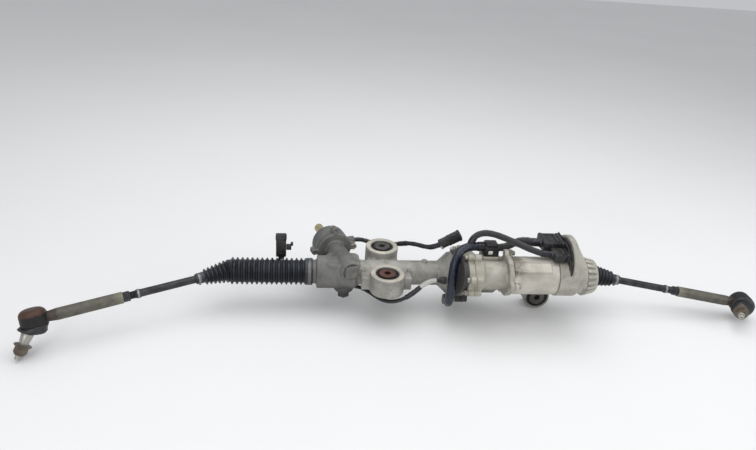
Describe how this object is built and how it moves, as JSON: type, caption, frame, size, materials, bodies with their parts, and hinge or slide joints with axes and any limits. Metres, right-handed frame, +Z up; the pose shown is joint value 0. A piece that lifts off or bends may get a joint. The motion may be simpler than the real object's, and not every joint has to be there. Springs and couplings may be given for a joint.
{
  "type": "electric steering rack",
  "caption": "Belt-driven electric steering rack with its motor and control unit, folded bellows, tie rods, ball joints, rubber mount bushes and wiring.",
  "frame": {"origin": "on the bore axis of the front mount bush, at the height of the rack", "axes": "+X along the rack towards the motor side, +Y from the front mount bush to the rear one, on the side of the input shaft, +Z up along the mount bolts"},
  "size_m": [1.4653, 0.3392, 0.199],
  "materials": {
    "cast_alloy": "as-cast, weathered",
    "machined_steel": "machined",
    "dark_steel": "forged, light rust",
    "black_rubber": "matt",
    "black_plastic": "satin",
    "cord_cover": "woven sleeve and tape",
    "pressed_steel": "zinc plated",
    "bushing_plastic": "plain",
    "iron_core": "wound core",
    "board": "lacquered"
  },
  "bodies": {
    "housing": {"pinion_housing": "cast_alloy", "belt_cover": "cast_alloy", "gear_case": "cast_alloy", "rack_tube": "cast_alloy", "bush_rubbers": "black_rubber", "bush_sleeves": "machined_steel", "sensor_housing": "cast_alloy", "input_seal": "black_rubber", "torque_sensor_coil": "iron_core", "rack_yoke": "bushing_plastic", "yoke_spring": "machined_steel", "rack_bushes": "bushing_plastic", "drive_belt": "black_rubber", "motor_housing": "cast_alloy", "motor_stator": "iron_core", "control_unit_case": "cast_alloy", "control_unit_cover": "cast_alloy", "circuit_board": "board", "connector_header": "black_plastic", "bearings": "machined_steel", "housing_bolts": "machined_steel", "housing_plugs": "pressed_steel", "conduit": "cord_cover", "front_cable": "cord_cover", "sensor_loom": "cord_cover", "arch_loom": "cord_cover", "power_loom": "cord_cover", "junction_box": "black_plastic", "harness_connectors": "black_plastic", "harness_brackets": "pressed_steel", "left_bellows": "black_rubber", "right_bellows": "black_rubber", "large_clamps": "machined_steel"},
    "rack": {"rack_bar": "machined_steel", "inner_sockets": "dark_steel"},
    "pinion": {"pinion_shaft": "machined_steel"},
    "ball_nut": {"ball_nut": "machined_steel", "nut_pulley": "cast_alloy"},
    "motor_rotor": {"motor_rotor": "machined_steel", "motor_pulley": "machined_steel"},
    "left_inner_seat": {"left_inner_seat": "black_plastic"},
    "left_tie_rod": {"left_inner_rod": "dark_steel", "left_jam_nut": "dark_steel", "left_outer_rod": "dark_steel", "left_bellows_nose": "black_rubber", "left_small_clamp": "machined_steel", "left_dust_boot": "black_rubber"},
    "left_outer_seat": {"left_outer_seat": "black_plastic"},
    "left_stud": {"left_ball_stud": "machined_steel", "left_stud_nut": "dark_steel"},
    "right_inner_seat": {"right_inner_seat": "black_plastic"},
    "right_tie_rod": {"right_inner_rod": "dark_steel", "right_jam_nut": "dark_steel", "right_outer_rod": "dark_steel", "right_bellows_nose": "black_rubber", "right_small_clamp": "machined_steel", "right_dust_boot": "black_rubber"},
    "right_outer_seat": {"right_outer_seat": "black_plastic"},
    "right_stud": {"right_ball_stud": "machined_steel", "right_stud_nut": "dark_steel"}
  },
  "joints": [
    {"name": "rack_slide", "type": "slide", "parent": "housing", "child": "rack", "axis": [1, 0, 0], "range_m": [0, 0.1], "deforming": ["left_bellows", "right_bellows"]},
    {"name": "pinion_turn", "type": "hinge", "parent": "housing", "child": "pinion", "pos_m": [-0.08, 0.055, 0.02], "axis": [-0.309, 0.9511, 0], "range_deg": [-575, 5]},
    {"name": "ball_nut_turn", "type": "hinge", "parent": "housing", "child": "ball_nut", "pos_m": [0.18, 0.055, 0], "axis": [1, 0, 0], "continuous": true},
    {"name": "motor_turn", "type": "hinge", "parent": "housing", "child": "motor_rotor", "pos_m": [0.27, -0.017, 0.04], "axis": [1, 0, 0], "continuous": true},
    {"name": "left_inner_swing", "type": "hinge", "parent": "rack", "child": "left_inner_seat", "pos_m": [-0.307, 0.055, 0], "axis": [0, 0, 1], "range_deg": [-48, 3], "deforming": ["left_bellows_nose"]},
    {"name": "left_inner_lift", "type": "hinge", "parent": "left_inner_seat", "child": "left_tie_rod", "pos_m": [-0.307, 0.055, 0], "axis": [-0.4051, 0.9143, 0], "range_deg": [-11, 17]},
    {"name": "left_outer_tilt", "type": "hinge", "parent": "left_tie_rod", "child": "left_outer_seat", "pos_m": [-0.62657, -0.08658, -0.0182], "axis": [0.365, -0.8673, 0.3384], "range_deg": [-2, 60], "deforming": ["left_dust_boot"]},
    {"name": "left_outer_spin", "type": "hinge", "parent": "left_outer_seat", "child": "left_stud", "pos_m": [-0.62657, -0.08658, -0.0182], "axis": [-0.3403, -0.4626, -0.8187], "continuous": true},
    {"name": "right_inner_swing", "type": "hinge", "parent": "rack", "child": "right_inner_seat", "pos_m": [0.438, 0.055, 0], "axis": [0, 0, 1], "range_deg": [-20, 32], "deforming": ["right_bellows_nose"]},
    {"name": "right_inner_lift", "type": "hinge", "parent": "right_inner_seat", "child": "right_tie_rod", "pos_m": [0.438, 0.055, 0], "axis": [-0.103, -0.9947, 0], "range_deg": [-6, 22]},
    {"name": "right_outer_tilt", "type": "hinge", "parent": "right_tie_rod", "child": "right_outer_seat", "pos_m": [0.78291, 0.0193, -0.0476], "axis": [-0.1372, -0.0046, -0.9905], "range_deg": [-58, 4], "deforming": ["right_dust_boot"]},
    {"name": "right_outer_spin", "type": "hinge", "parent": "right_outer_seat", "child": "right_stud", "pos_m": [0.78291, 0.0193, -0.0476], "axis": [-0.5506, -0.8309, 0.0801], "continuous": true}
  ],
  "couplings": [
    {"joint": "pinion_turn", "follows": "rack_slide", "rad_per_m": -99.068},
    {"joint": "ball_nut_turn", "follows": "rack_slide", "rad_per_m": -897.6},
    {"joint": "motor_turn", "follows": "rack_slide", "rad_per_m": -2692.8}
  ]
}
